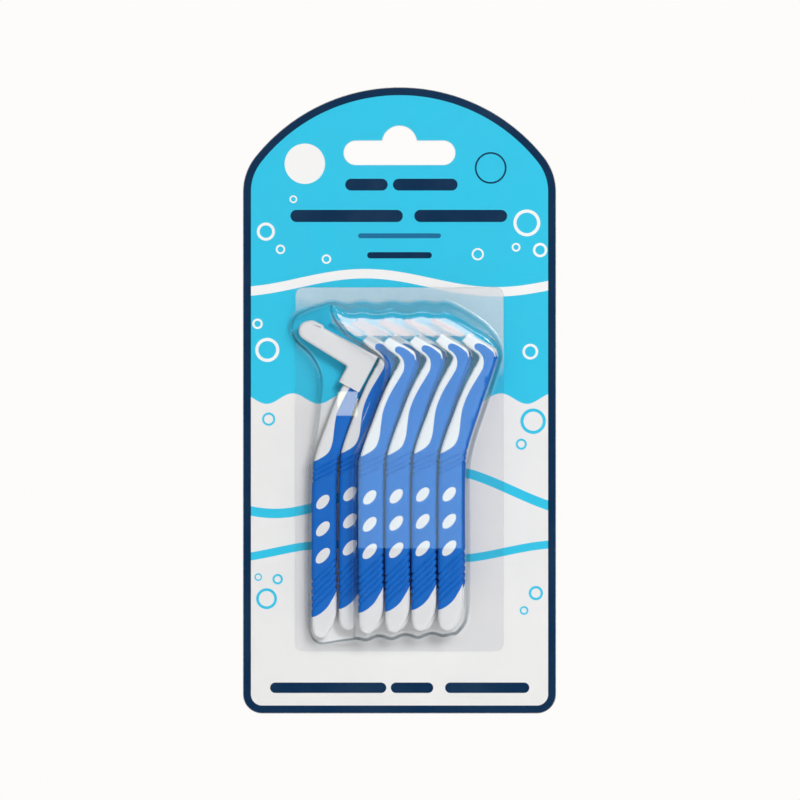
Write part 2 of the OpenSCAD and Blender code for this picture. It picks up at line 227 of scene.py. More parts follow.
class Paint:
    """The node tree of a material or the world, and the few patterns that it is made from."""

    def __init__(self, owner, output="OutputMaterial"):
        owner.use_nodes = True
        self.owner = owner
        self.tree = owner.node_tree
        self.tree.nodes.clear()
        self.out = self.add(output)
        self.coord = self.add("TexCoord")

    def add(self, kind, **values):
        """A new node; each value goes to the input of that name, with _ for a space."""
        n = self.tree.nodes.new("ShaderNode" + kind)
        for key, value in values.items():
            feed(self.tree, n.inputs[key.replace("_", " ")], value)
        return n

    def end(self, shader):
        """Puts the shader on the material or world, and returns that."""
        self.tree.links.new(shader.outputs[0], self.out.inputs[0])
        return self.owner

    def surface(self, **values):
        return self.end(self.add("BsdfPrincipled", **values))

    def xyz(self, output="Object"):
        split = self.add("SeparateXYZ", Vector=self.coord.outputs[output])
        return [Num(self.tree, s) for s in split.outputs]

    def rays(self, *kinds):
        """1 for the kinds of ray that are named, and 0 for all others."""
        path = self.add("LightPath")
        return most([Num(self.tree, path.outputs[kind]) for kind in kinds])

    def noise(self, scale, detail=3, rough=0.5, stretch=(1, 1, 1)):
        place = self.add("Mapping", Vector=self.coord.outputs["Object"], Scale=stretch)
        n = self.add("TexNoise", Vector=place.outputs[0], Scale=scale, Detail=detail, Roughness=rough)
        return Num(self.tree, n.outputs["Fac"])

    def bump(self, height, distance, strength):
        return self.add("Bump", Height=height, Distance=distance, Strength=strength).outputs[0]

    def mix(self, share, a, b):
        """A colour between two."""
        n = self.add("Mix")
        n.data_type = "RGBA"
        for i, value in ((0, share), (6, a), (7, b)):
            feed(self.tree, n.inputs[i], value)
        return n.outputs[2]

    def mix_shaders(self, share, a, b):
        """A shader between two."""
        n = self.add("MixShader")
        for socket, value in zip(n.inputs, (share, a.outputs[0], b.outputs[0])):
            feed(self.tree, socket, value)
        return n


def moulded(name, color, shade, rough, grain, specular):
    """Moulded plastic: a little mottled, with a fine grain."""
    p = Paint(bpy.data.materials.new(name))
    slow = p.noise(180, detail=2)
    fine = p.noise(grain, detail=4, rough=0.6)
    share = (slow - 0.5) * 0.8 + (fine - 0.5) * 0.5 + 0.4
    return p.surface(Base_Color=p.mix(share, color, shade), Roughness=rough + (fine - 0.5) * 0.16,
                     Normal=p.bump(fine, distance=0.00002, strength=0.35),
                     Specular_IOR_Level=specular)


NAVY = rgb(5, 45, 80)
TEAL = rgb(30, 112, 158)
CYAN = rgb(54, 202, 238)
FOAM = rgb(250, 251, 251)
FIELD = rgb(241, 241, 241)
BOARD, BOARD_SHADE = rgb(226, 224, 219), rgb(206, 202, 194)

HORIZON, SWELL, SWELL_RATE, SWELL_PHASE = 90.5, 1.5, 0.42, 1.9
# height, swing, wavelength over two pi, phase and width of each wavy line
WAVES = [(123.8, 2.6, 12.0, 2.4, 2.7), (64.0, 6.5, 14.5, 0.9, 2.7), (46.5, 2.2, 10.5, 3.4, 2.3)]
# middle, radius and line width of each ring
RINGS = [(36.6, 141, 3.4, 0.9), (40.4, 133.2, 1.7, 0.7), (33.5, 134.0, 1.0, 0.5),
         (-38.4, 138.5, 2.2, 0.8), (-34.2, 133.4, 1.1, 0.5), (-38.0, 104.5, 3.0, 0.9),
         (-40.8, 112.0, 1.2, 0.6), (37.6, 104.0, 1.9, 0.7), (-38.2, 33.0, 2.6, 0.8),
         (-35.0, 38.6, 1.2, 0.6), (-40.6, 39.2, 0.9, 0.4), (38.4, 84.0, 3.2, 0.9),
         (35.0, 77.4, 1.3, 0.6), (39.2, 34.6, 1.7, 0.7), (35.8, 29.6, 1.0, 0.5),
         (-37.6, 84.6, 1.6, 0.6), (-30.5, 147.8, 0.9, 0.4), (22.5, 132.0, 1.5, 0.5),
         (-21.0, 130.6, 1.1, 0.5)]
BADGE = (26.2, 156.8, 4.3, 0.5)
DISC_X, DISC_Z, DISC_R = -27.2, 158, 5.8
# middle, straight half and height of each bar
BARS = [(-9.5, 152, 4.4, 3.4), (7.4, 152, 7.6, 3.4), (-15.2, 143, 14.4, 3.5), (17.6, 143, 11.6, 3.5),
        (0, 131.7, 8.4, 1.8), (-20.5, 7.4, 15.2, 3.0), (3.6, 7.4, 4.6, 3.0), (25.2, 7.4, 10.6, 3.0)]
THIN_BAR = (0, 137.3, 11.2, 1.4)


def printed_card():
    """The card: its print in front, and plain board elsewhere."""
    p = Paint(bpy.data.materials.new("printed_card"))
    x, _, z = p.xyz()
    x = x * (1 / MM)
    z = z * (1 / MM) + HANG
    ax = x.abs()

    # how far a point lies inside the outline
    straight = CARD_HALF - CORNER_R
    edge = (CARD_HALF - ax).min(z).min(ARCH_R - hypot(ax, (z - ARCH_Z).max(0)))
    corner = CORNER_R - hypot((ax - straight).max(0), (CORNER_R - z).max(0))
    edge = edge + (corner - edge) * (ax.over(straight) * z.under(CORNER_R))
    shoulder = SHOULDER_R - hypot(ax - SHOULDER_X, z - SHOULDER_Z)
    beyond = (ax * (SHOULDER_Z - ARCH_Z) - (z - ARCH_Z) * SHOULDER_X).over(0)
    edge = edge + (shoulder - edge) * (beyond * z.over(SHOULDER_Z))
    slot = hypot((ax - SLOT_HALF).max(0), z - (HANG - SLOT_DROP - SLOT_R)) - SLOT_R
    hole = slot.min(hypot(x, z - (HANG - NOTCH_R)) - NOTCH_R)

    def wave(mid, swing, length, phase, width):
        t = x * (1 / length) + phase
        slope = t.cos() * (swing / length)
        return width / 2 - (z - (t.sin() * swing + mid)).abs() / (slope * slope + 1).sqrt()

    def ring(cx, cz, r, width):
        return width / 2 - (hypot(x - cx, z - cz) - r).abs()

    def bar(cx, cz, half, high):
        return high / 2 - hypot(((x - cx).abs() - half).max(0), z - cz)

    horizon = HORIZON + (x * SWELL_RATE + SWELL_PHASE).sin() * SWELL
    sky = (z - horizon).cover(0.2)
    art = p.mix(sky, FIELD, CYAN)
    lines = most([wave(*w) for w in WAVES] + [ring(*r) for r in RINGS])
    art = p.mix(lines.cover(), art, p.mix(sky, CYAN, FOAM))
    disc = DISC_R - hypot(x - DISC_X, z - DISC_Z)
    art = p.mix(disc.cover(), art, rgb(250, 250, 249))
    art = p.mix(bar(*THIN_BAR).cover(), art, TEAL)
    art = p.mix(most([bar(*b) for b in BARS] + [ring(*BADGE)]).cover(), art, NAVY)
    art = p.mix((BORDER - edge).cover(), art, NAVY)

    # worn paper along the cut edges
    fibre = p.noise(2600, detail=5, rough=0.65, stretch=(1, 1, 0.35))
    blotch = p.noise(60, rough=0.6)
    worn = (0.16 - edge.min(hole) + (fibre - 0.5) * 0.2).cover(0.14) * 0.55
    art = p.mix(worn, art, BOARD)
    art = p.mix((blotch - 0.4).max(0) * 0.12, art, rgb(120, 150, 170))
    board = p.mix((fibre - 0.5) * 1.4 + blotch * 0.35, BOARD, BOARD_SHADE)
    front = p.xyz("Normal")[1].under(-0.5)
    return p.surface(Base_Color=p.mix(front, board, art),
                     Roughness=0.66 - front * 0.14 + (fibre - 0.5) * 0.12,
                     Normal=p.bump(fibre + blotch * 0.6, distance=0.00003, strength=0.3),
                     Specular_IOR_Level=0.07)


def clear_film():
    """Thin clear film: straight through, with a mirror share that grows at the edges."""
    p = Paint(bpy.data.materials.new("clear_film"))
    x, y, z = [c * (1 / MM) for c in p.xyz()]
    flange = y.over(-FLANGE_LIMIT)
    facing = Num(p.tree, p.add("LayerWeight", Blend=0.5).outputs["Facing"])
    slant = facing * facing * facing
    speck = p.noise(420)

    # a slanting wall is darker, as light goes a longer way through the film there; a wall that faces
    # down, as under the feet, also gets painted shade and is the darkest
    under = (p.xyz("Normal")[2] * -1.6).clamped()
    tint = p.mix(slant * (0.45 + under * 0.55), rgb(251, 252, 253), rgb(124, 136, 144))
    through = p.add("BsdfTransparent", Color=p.mix(flange, tint, rgb(252, 252, 253)))
    gloss = p.add("BsdfPrincipled", Base_Color=(0.92, 0.96, 1, 1), Metallic=1.0,
                  Roughness=speck * 0.004 + 0.002)
    mirror = (Num(p.tree, p.add("Fresnel", IOR=1.5).outputs[0]) * 0.6).min(0.25)
    clear = p.mix_shaders(mirror, through, gloss)

    # the sealed flange is a little hazy, and towards its top a painted reflection lays a milky glare
    # over it
    haze_and_glare_veil = p.add("BsdfPrincipled", Base_Color=p.mix(speck, rgb(222, 228, 234), rgb(232, 235, 239)),
                 Roughness=0.35, Specular_IOR_Level=0.2)
    # the share that grows towards the top is painted reflection; the small even share is the flange's
    # own haze
    haze_and_glare = ((z + (HANG - 108.5) + x * 0.28) / 7).clamped(0.5) * 0.38 + 0.005
    haze_and_glare = haze_and_glare * flange + (speck - 0.5) * 0.02
    veiled_film = p.mix_shaders(haze_and_glare.max(0), clear, haze_and_glare_veil)

    # light on its way to what is under the film only takes on a tint
    bare = p.add("BsdfTransparent", Color=p.mix(slant, rgb(255, 255, 255), rgb(150, 156, 162)))
    return p.end(p.mix_shaders(p.rays("Is Shadow Ray", "Is Diffuse Ray"), veiled_film, bare))


def steel_wire():
    p = Paint(bpy.data.materials.new("steel_wire"))
    fine = p.noise(9000, rough=0.6, stretch=(1, 1, 0.2))
    return p.surface(Base_Color=p.mix(fine, rgb(206, 208, 212), rgb(170, 172, 178)),
                     Roughness=0.22 + fine * 0.16, Metallic=1.0,
                     Normal=p.bump(fine, distance=0.000005, strength=0.3))


def nylon_bristle():
    p = Paint(bpy.data.materials.new("nylon_bristle"))
    fine = p.noise(2500, detail=2)
    return p.surface(Base_Color=p.mix(fine, rgb(236, 246, 252), rgb(206, 228, 242)),
                     Roughness=0.3 + fine * 0.15, Specular_IOR_Level=0.3,
                     Normal=p.bump(fine, distance=0.000005, strength=0.2))


card_mat = printed_card()
film_mat = clear_film()
white_mat = moulded("core_plastic", rgb(247, 247, 248), rgb(240, 240, 242), 0.34, 2400, 0.45)
grip_mat = moulded("soft_grip", rgb(0, 115, 215), rgb(0, 103, 199), 0.5, 3400, 0.2)
steel_mat = steel_wire()
nylon_mat = nylon_bristle()


# Pieces

def new_piece(name, mesh, body, node, mat, place=(0, 0, 0)):
    """A piece that stands for a solid and moves with its body."""
    o = bpy.data.objects.new(name, mesh)
    bpy.context.scene.collection.objects.link(o)
    o.location = [c * MM for c in place]
    if not mesh.materials:
        mesh.materials.append(mat)
    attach(o, body)
    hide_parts(node)
    return o


def mesh_from(name, verts, faces, sharp=None):
    """A mesh from millimetres; edges that turn by more than sharp degrees stay crisp."""
    m = bpy.data.meshes.new(name)
    m.from_pydata((np.asarray(verts) * MM).tolist(), [], faces)
    m.validate()
    m.shade_smooth()
    if sharp:
        m.set_sharp_from_angle(angle=math.radians(sharp))
    return m


def split_large(bm):
    """Splits faces of more than four points into triangles."""
    bmesh.ops.triangulate(bm, faces=[f for f in bm.faces if len(f.verts) > 4])


def face_out(mesh, split=False):
    """Turns the faces of a closed mesh outwards."""
    bm = bmesh.new()
    bm.from_mesh(mesh)
    if split:
        split_large(bm)
    bmesh.ops.recalc_face_normals(bm, faces=bm.faces)
    bm.to_mesh(mesh)
    bm.free()
    return mesh


def applied(o):
    """The object's mesh with its modifiers applied; the object goes."""
    bpy.context.view_layer.update()
    out = bpy.data.meshes.new_from_object(o.evaluated_get(bpy.context.evaluated_depsgraph_get()))
    bpy.data.objects.remove(o)
    return out


def joined(mesh, op, other):
    """The result of a boolean of two meshes, as a new mesh."""
    a = bpy.data.objects.new("a", mesh)
    b = bpy.data.objects.new("b", other)
    for o in (a, b):
        bpy.context.scene.collection.objects.link(o)
    mod = a.modifiers.new("join", "BOOLEAN")
    mod.operation = op
    mod.solver = "EXACT"
    mod.object = b
    out = applied(a)
    bpy.data.objects.remove(b)
    return out


# A brush from the front, in shares of the handle's width and the brush's height
SIZE = np.array([HANDLE_W, BRUSH_H])
HEAD_LEFT, HEAD_RIGHT = (1.2, 0.927), (1.86, 0.942)
LEFT_EDGE = [(-0.13, 0), (-0.35, 0.01), (-0.44, 0.032), (-0.457, 0.07), (-0.455, 0.19),
             (-0.45, 0.37), (-0.435, 0.51), (-0.371, 0.597), (-0.129, 0.664), (0.143, 0.723),
             (0.414, 0.782), (0.729, 0.841), (1.129, 0.9), HEAD_LEFT, (0.757, 0.957),
             (0.52, 0.976)]
RIGHT_EDGE = [(0.02, 0.001), (0.16, 0.01), (0.3, 0.028), (0.43, 0.05), (0.525, 0.074), (0.555, 0.1),
              (0.558, 0.15), (0.55, 0.23), (0.545, 0.37), (0.55, 0.51), (0.624, 0.6), (0.83, 0.664),
              (1.07, 0.723), (1.3, 0.782), (1.56, 0.841), (1.836, 0.9), (1.893, 0.923), HEAD_RIGHT,
              (1.714, 0.957), (0.8, 1.0)]
GRIP_FOOT = [(-0.9, 0.068), (-0.5, 0.07), (-0.29, 0.074), (-0.03, 0.087), (0.19, 0.105),
             (0.37, 0.129), (0.53, 0.154), (0.9, 0.23)]
GRIP_SIDE = [(2.4, 0.23)]
GRIP_TIP = [(2.4, 0.917), (1.9, 0.921), (1.8, 0.938), (1.486, 0.959), (1.229, 0.968),
            (1.086, 0.966), (1.029, 0.958), (1.071, 0.948), (1.2, 0.941), (1.37, 0.923),
            (1.414, 0.902)]
GRIP_NECK = [(1.371, 0.883), (1.171, 0.855), (0.886, 0.816), (0.671, 0.779), (0.529, 0.744),
             (0.457, 0.704), (0.386, 0.659), (0.214, 0.626), (-0.121, 0.606), (-0.371, 0.597),
             (-0.9, 0.588)]
# height and lean in degrees of each groove
GROOVES = [(0.548, 25), (0.565, 25), (0.582, 25),
           (0.225, 42), (0.202, 42), (0.179, 42), (0.156, 42), (0.133, 42)]
GROOVE_DEPTH, GROOVE_HALF = 0.36, 0.46
OVAL_MID, OVAL_PITCH, OVAL_LEAN = 0.369, 7.7, 49
OVAL_LONG, OVAL_SHORT = 2.58, 1.38
GRIP_RISE, STUD_RISE = 0.07, 0.05  # over the core
GRIP_T, CORE_SUNK = 0.7, 0.75  # the grip's thickness, and how far the core lies under it

HANDLE_HALF, HEAD_THINNER = 2.3, 0.5
THIN_FROM, THIN_OVER = 0.62, 0.13  # heights between which a brush gets thinner
FOOT_ROUND = 0.03  # height of the rounding at the foot
TURN = 0.88  # from this height on, the rings turn towards the head
STEP, GROOVED_STEP = 0.42, 0.17  # from ring to ring
RING = 72  # points in a ring
SQUARE = 5.2  # power of the section's rounded square


def half_depth(z):
    """Half thickness of a brush at height z."""
    t = HANDLE_HALF - HEAD_THINNER * smooth((z - THIN_FROM * BRUSH_H) / (THIN_OVER * BRUSH_H))
    foot = np.clip(z / (FOOT_ROUND * BRUSH_H), 0, 1)
    return t * (0.5 + 0.5 * np.sqrt(1 - (1 - foot) ** 2))


def brush_loft():
    """Rings of points round the brush, from its foot to its head."""
    turn = TURN * BRUSH_H
    z = [0.02, 0.15, 0.4, 0.8]
    while z[-1] < turn:
        s = z[-1] / BRUSH_H
        grooved = 0.1 < s < 0.27 or 0.525 < s < 0.605
        z.append(z[-1] + (GROOVED_STEP if grooved else STEP))
    z = np.array(z)

    def at_rings(shares, corner):
        """An edge's points at the rings: level ones up to the turn, and then past a corner."""
        edge = curve(np.array(shares) * SIZE, 12)
        below = edge[:, 1] < turn
        level = np.stack([np.interp(z, edge[below, 1], edge[below, 0]), z], 1)
        rest = edge[edge[:, 1] > level[-1][1] + 0.05]
        rest = np.concatenate([[level[-1]], rest])
        at = int(np.argmin(np.linalg.norm(rest - np.array(corner) * SIZE, axis=1)))
        first = along(rest[:at + 1], np.linspace(0, 1, 15)[1:])
        second = along(rest[at:], np.linspace(0, 1, 25)[1:])
        return np.concatenate([level, first, second])

    def squared(wave):
        return np.sign(wave) * np.abs(wave) ** (2 / SQUARE)

    dense = np.linspace(0, 2 * math.pi, 721)
    across, deep = squared(np.cos(dense)), squared(np.sin(dense))
    rings = []
    for a, b in zip(at_rings(LEFT_EDGE, HEAD_LEFT), at_rings(RIGHT_EDGE, HEAD_RIGHT)):
        mid, half = (a + b) / 2, (b - a) / 2
        w = np.linalg.norm(half)
        ring = along(np.stack([across * w, deep * half_depth(mid[1])], 1), np.arange(RING) / RING)
        rings.append(np.stack([mid[0] + half[0] / w * ring[:, 0], ring[:, 1],
                               mid[1] + half[1] / w * ring[:, 0]], 1))
    return np.array(rings)


def ring_normals(g):
    """Outward normals of a grid of rings."""
    du = np.gradient(g, axis=0)
    dv = (np.roll(g, -1, axis=1) - np.roll(g, 1, axis=1)) / 2
    n = np.cross(du, dv)
    n = n / np.maximum(np.linalg.norm(n, axis=2, keepdims=True), 1e-9)
    outwards = ((g - g.mean(axis=1, keepdims=True)) * n).sum() >= 0
    return n if outwards else -n


class Split:
    """A closed grid cut along the zero line of a field at its points."""

    def __init__(self, grid, field):
        rows, cols, _ = grid.shape
        self.points = list(grid.reshape(-1, 3))
        self.field = list(field.reshape(-1))
        self.inside, self.outside, self.seam = [], [], []
        self.cuts = {}
        for i in range(rows - 1):
            for j in range(cols):
                a, b = i * cols + j, i * cols + (j + 1) % cols
                c, d = b + cols, a + cols
                f = [self.field[k] >= 0 for k in (a, b, c, d)]
                if f in ([True, False, True, False], [False, True, False, True]):
                    self.take([a, b, c])
                    self.take([a, c, d])
                else:
                    self.take([a, b, c, d])
        last = (rows - 1) * cols
        for at, face in ((0, range(cols)[::-1]), (last, range(last, last + cols))):
            (self.inside if self.field[at] >= 0 else self.outside).append(tuple(face))

    def cut(self, i, j):
        """The point on the zero line between two others."""
        key = (min(i, j), max(i, j))
        if key not in self.cuts:
            a, b = key
            t = self.field[a] / (self.field[a] - self.field[b])
            self.cuts[key] = len(self.points)
            self.points.append(self.points[a] * (1 - t) + self.points[b] * t)
            self.field.append(0.0)
        return self.cuts[key]

    def take(self, face):
        """Puts a face inside or outside, or cuts it in two."""
        f = [self.field[i] for i in face]
        if min(f) >= 0:
            self.inside.append(tuple(face))
            return
        if max(f) < 0:
            self.outside.append(tuple(face))
            return
        ins, outs, ends = [], [], []
        for k, i in enumerate(face):
            j = face[(k + 1) % len(face)]
            here, there = self.field[i] >= 0, self.field[j] >= 0
            (ins if here else outs).append(i)
            if here != there:
                c = self.cut(i, j)
                ins.append(c)
                outs.append(c)
                ends.append((c, here))
        self.inside.append(tuple(ins))
        self.outside.append(tuple(outs))
        leaving = [c for c, here in ends if here][0]
        entering = [c for c, here in ends if not here][0]
        self.seam.append((leaving, entering))


def shell(name, faces, top, under, under_faces, seam):
    """A closed mesh of faces over the points top, and of others over the points under."""
    count = len(top)
    verts = np.concatenate([top, under])
    all_faces = list(faces) + [tuple(i + count for i in face) for face in under_faces]
    all_faces += [(a, b, b + count, a + count) for a, b in seam]
    used = sorted({i for face in all_faces for i in face})
    index = {v: k for k, v in enumerate(used)}
    return face_out(mesh_from(name, verts[used],
                              [tuple(index[i] for i in face) for face in all_faces], 40))


def brush_meshes():
    """The core and the grip of a brush, cut from one loft along the grip's outline and ovals."""
    grid = brush_loft()
    flat = grid.reshape(-1, 3)
    q = flat[:, [0, 2]]
    mask = np.concatenate([curve(np.array(GRIP_FOOT) * SIZE, 6), np.array(GRIP_SIDE) * SIZE,
                           curve(np.array(GRIP_TIP) * SIZE, 5), curve(np.array(GRIP_NECK) * SIZE, 6)])
    field = polygon_field(mask, q)
    a = math.radians(OVAL_LEAN)
    for i in (-1, 0, 1):
        up = q[:, 1] - (OVAL_MID * BRUSH_H + i * OVAL_PITCH)
        u = q[:, 0] * math.cos(a) + up * math.sin(a)
        v = -q[:, 0] * math.sin(a) + up * math.cos(a)
        r = np.sqrt((u / (OVAL_LONG - 0.12 * i)) ** 2 + (v / OVAL_SHORT) ** 2)
        field = np.minimum(field, (r - 1) * 1.6)
    field = np.where(np.abs(field) < 0.004, 0.004, field)

    split = Split(grid, field.reshape(grid.shape[:2]))
    p = np.array(split.points)
    f = np.array(split.field)
    # each cut point takes the normal of the nearest grid point
    normal = ring_normals(grid).reshape(-1, 3)
    near = [np.argmin(((flat - e) ** 2).sum(1)) for e in p[len(flat):]]
    n = np.concatenate([normal, normal[near]])

    groove = np.zeros(len(p))
    for share, lean in GROOVES:
        a = math.radians(lean)
        d = np.abs((p[:, 2] - share * BRUSH_H) * math.cos(a) - p[:, 0] * math.sin(a))
        groove = np.maximum(groove, 0.5 + 0.5 * np.cos(np.clip(d / GROOVE_HALF, 0, 1) * math.pi))
    rise = GRIP_RISE * smooth(f / 0.35) - GROOVE_DEPTH * groove * smooth(f / 0.5)
    studded = (p[:, 2] > 0.2 * BRUSH_H) & (p[:, 2] < 0.5 * BRUSH_H)
    bulge = STUD_RISE * smooth(-f / 0.8) * studded
    grip = shell("grip", split.inside, p + n * rise[:, None], p - n * GRIP_T,
                 [face[::-1] for face in split.inside], split.seam)
    handle = shell("handle", split.outside, p + n * bulge[:, None], p - n * CORE_SUNK,
                   split.inside, split.seam)
    return handle, grip


WIRE_EXIT = np.array([0.593 * HANDLE_W, 0, 0.991 * BRUSH_H])
WIRE_TILT = math.radians(62)


def to_head(points):
    """From the head's own frame (across, depth, along the wire) to the brush's."""
    q = np.asarray(points, float)
    c, s = math.cos(WIRE_TILT), math.sin(WIRE_TILT)
    turned = np.stack([q[:, 0] * c - q[:, 2] * s, q[:, 1], q[:, 0] * s + q[:, 2] * c], 1)
    return turned + WIRE_EXIT


def tube(path, radii, sides, verts, faces):
    """Adds a closed tube along a path to lists of points and faces."""
    path = np.asarray(path, float)
    t = np.gradient(path, axis=0)
    t /= np.linalg.norm(t, axis=1, keepdims=True)
    aside = np.array([0.3, 0.9, 0.2])
    start = len(verts)
    for c, d, r in zip(path, t, radii):
        u = np.cross(d, aside)
        u /= np.linalg.norm(u)
        v = np.cross(d, u)
        for i in range(sides):
            a = 2 * math.pi * i / sides
            verts.append(c + r * (math.cos(a) * u + math.sin(a) * v))
    rows = len(path)
    for k in range(rows - 1):
        for i in range(sides):
            a = start + k * sides + i
            b = start + k * sides + (i + 1) % sides
            faces.append((a, b, b + sides, a + sides))
    faces.append(tuple(start + i for i in range(sides))[::-1])
    faces.append(tuple(start + (rows - 1) * sides + i for i in range(sides)))


def screw(z):
    """The angle of the wire's twist at z."""
    return z / LEAD * 2 * math.pi


def wire_mesh():
    """Two strands twisted together, from inside the head to a rounded end."""
    verts, faces = [], []
    z = np.linspace(-4.0, 10.5, 150)
    offset, radius = 0.095, 0.098
    radii = np.full(len(z), radius)
    radii[-3:] = (0.09, 0.07, 0.04)
    for turn in (0, math.pi):
        a = screw(z) + turn
        tube(np.stack([offset * np.cos(a), offset * np.sin(a), z], 1), radii, 8, verts, faces)
    return mesh_from("wire", to_head(verts), faces, 60)


def bristle_mesh():
    """Fine tapered filaments on a rising screw, held where the wire's strands cross."""
    rng = np.random.default_rng(7)
    verts, faces = [], []
    count = 210
    first, span = 0.85, 9.4
    longest, taper = 1.15, 0.25
    short, shortest = 24, 0.72  # how many at the foot are cut short, and the first one's share
    radii = [0.018, 0.028, 0.033, 0.028, 0.018]
    for i in range(count):
        z = first + span * i / (count - 1)
        reach = longest - taper * i / count
        if i < short:
            reach *= shortest + (1 - shortest) * i / short
        a = screw(z) + rng.normal(0, 0.5)
        lean = rng.normal(0.05, 0.1)
        bow = rng.normal(0, 0.05)
        r = np.array([-1, -0.5, 0, 0.5, 1]) * reach * (1 + rng.normal(0, 0.03))
        turn = a + bow * (r / reach) ** 2
        path = np.stack([r * np.cos(turn), r * np.sin(turn), z + lean * np.abs(r)], 1)
        tube(path, radii, 4, verts, faces)
    return mesh_from("bristles", to_head(verts), faces)


def pillow(outline, half, r, steps=6):
    """A slab of an outline (across, along), with its edges rounded, in the head's frame."""
    angles = np.linspace(0, math.pi / 2, steps)
    levels = [(-half + r * (1 - math.cos(t)), r * (1 - math.sin(t))) for t in angles]
    levels += [(-y, by) for y, by in levels[::-1]]
    n = len(outline)
    verts, faces = [], []
    for y, by in levels:
        ring = inset(outline, by) if by > 1e-6 else outline
        verts += [(q[0], y, q[1]) for q in ring]
    for k in range(len(levels) - 1):
        for i in range(n):
            a, b = k * n + i, k * n + (i + 1) % n
            faces.append((a, b, b + n, a + n))
    faces.append(tuple(range(n))[::-1])
    faces.append(tuple(range((len(levels) - 1) * n, len(levels) * n)))
    return face_out(mesh_from("pillow", to_head(verts), faces), split=True)


def cap_mesh():
    """The travel cap: a rounded hollow elbow, open at its right side and its foot."""

    def dome(r, start, n):
        """Points round the cap's end."""
        return [(-0.28 + r * math.cos(t), 9.1 + r * math.sin(t))
                for t in np.linspace(start, math.pi, n)]

    end = dome(2.8, math.radians(38), 16)
    outer = [(2.52, -15), (2.52, 5.5), (3.1, 6.0), (3.1, 8.6), (2.75, 9.9)] + end
    outer += [(-4.08, -5.45), (-12, -5.45), (-12, -15)]
    outer = rounded(outer, [0, 0.5, 0.3, 1.2, 0.8] + [0] * len(end) + [0.7, 0, 0])
    end = dome(2.3, 0, 18)
    inner = [(2.02, -18)] + end + [(-3.58, -5.95), (-15, -5.95), (-15, -18)]
    inner = rounded(inner, [0] * (len(end) + 1) + [0.4, 0, 0])
    keep = np.array([(-9.08, 14), (6, 14), (6, -12), (-9.08, -12)], float)
    hollow = joined(pillow(outer[::-1], 2.6, 0.95), "DIFFERENCE", pillow(inner[::-1], 2.1, 0.5))
    hollow = joined(hollow, "INTERSECT", pillow(keep, 4, 0.02, steps=2))
    hollow.shade_smooth()
    hollow.set_sharp_from_angle(angle=math.radians(35))
    return hollow


HIGH_FRONT = 11  # only the high front lies deeper than this
LOW_FROM, LOW_TO = 4.2, 7  # depths that the low front lies between
LOW_LEAN, LEAN_X, LEAN_W = 0.02, -31, 30  # its lean by mm of x, where it starts and how wide it is


def film_mesh():
    """The formed film: the solid's front skin with its edges drawn soft, then given its thickness."""
    bm = bmesh.new()
    bm.from_mesh(nodes["blister"].data)
    bmesh.ops.remove_doubles(bm, verts=bm.verts, dist=2e-6)
    bm.normal_update()
    bmesh.ops.delete(bm, geom=[f for f in bm.faces if f.normal.y > -0.04], context="FACES")
    # a closed block behind the skin, for the remesh
    rim = [e for e in bm.edges if e.is_boundary]
    for v in bmesh.ops.extrude_edge_only(bm, edges=rim)["geom"]:
        if isinstance(v, bmesh.types.BMVert):
            v.co.y = 3 * MM
    bmesh.ops.holes_fill(bm, edges=[e for e in bm.edges if e.is_boundary], sides=0)
    split_large(bm)
    bmesh.ops.recalc_face_normals(bm, faces=bm.faces)
    m = bpy.data.meshes.new("film")
    bm.to_mesh(m)
    bm.free()
    o = bpy.data.objects.new("film", m)
    bpy.context.scene.collection.objects.link(o)
    mod = o.modifiers.new("skin", "REMESH")
    mod.mode = "VOXEL"
    mod.voxel_size = 0.4 * MM
    mod = o.modifiers.new("soft", "SMOOTH")
    mod.factor = 0.5
    mod.iterations = 7
    m = applied(o)

    co = np.empty(len(m.vertices) * 3)
    m.vertices.foreach_get("co", co)
    co = co.reshape(-1, 3) / MM
    x, y = co[:, 0], co[:, 1]  # views of the points, so that a change to y moves them
    deep = -y
    high = np.median(deep[deep > HIGH_FRONT])
    # the low front leans a little to the left
    low = smooth((deep - LOW_FROM) / 2) * (1 - smooth((deep - LOW_TO) / 2)) * (x < -2)
    y -= LOW_LEAN * np.clip(x - LEAN_X, 0, LEAN_W) * low
    # the high front and the flange are each one flat plane
    y[abs(deep - high) < 0.03] = -high
    y[(y > -1.0) & (y < -0.86)] = -FLANGE_FRONT
    m.vertices.foreach_set("co", (co * MM).ravel())

    # the block behind the skin goes
    bm = bmesh.new()
    bm.from_mesh(m)
    bmesh.ops.bisect_plane(bm, geom=bm.verts[:] + bm.edges[:] + bm.faces[:], dist=1e-7,
                           plane_co=(0, -0.8 * MM, 0), plane_no=(0, 1, 0), clear_outer=True)
    for v in bm.verts:
        v.co.y = min(v.co.y, -FLANGE_FRONT * MM)
    bm.to_mesh(m)
    bm.free()
    m.shade_smooth()
    o = bpy.data.objects.new("film", m)
    bpy.context.scene.collection.objects.link(o)
    mod = o.modifiers.new("thick", "SOLIDIFY")
    mod.thickness = FILM_T * MM
    mod.offset = -1
    return applied(o)


# Where each brush stands: x, depth and height of its foot
BODY_W = 1.02 * HANDLE_W
LAST_X, ROW_BASE, BACK_Y, FRONT_Y = 14.2, 24.2, 3.4, 8.3
back_pitch, front_pitch = BODY_W + 0.15, BODY_W + 0.43
second_x = LAST_X + 0.75 - 4 * back_pitch
places = [(second_x - BODY_W - 0.6, BACK_Y, ROW_BASE - 2.3), (second_x, BACK_Y, ROW_BASE)]
places += [(LAST_X - (3 - i) * front_pitch, FRONT_Y, ROW_BASE - 0.9 * share)
           for i, share in enumerate((1, 0.64, 0.1, 0))]
places += [(second_x + i * back_pitch, BACK_Y, ROW_BASE) for i in (1, 2, 3, 4)]
front_row = (3, 4, 5, 6)

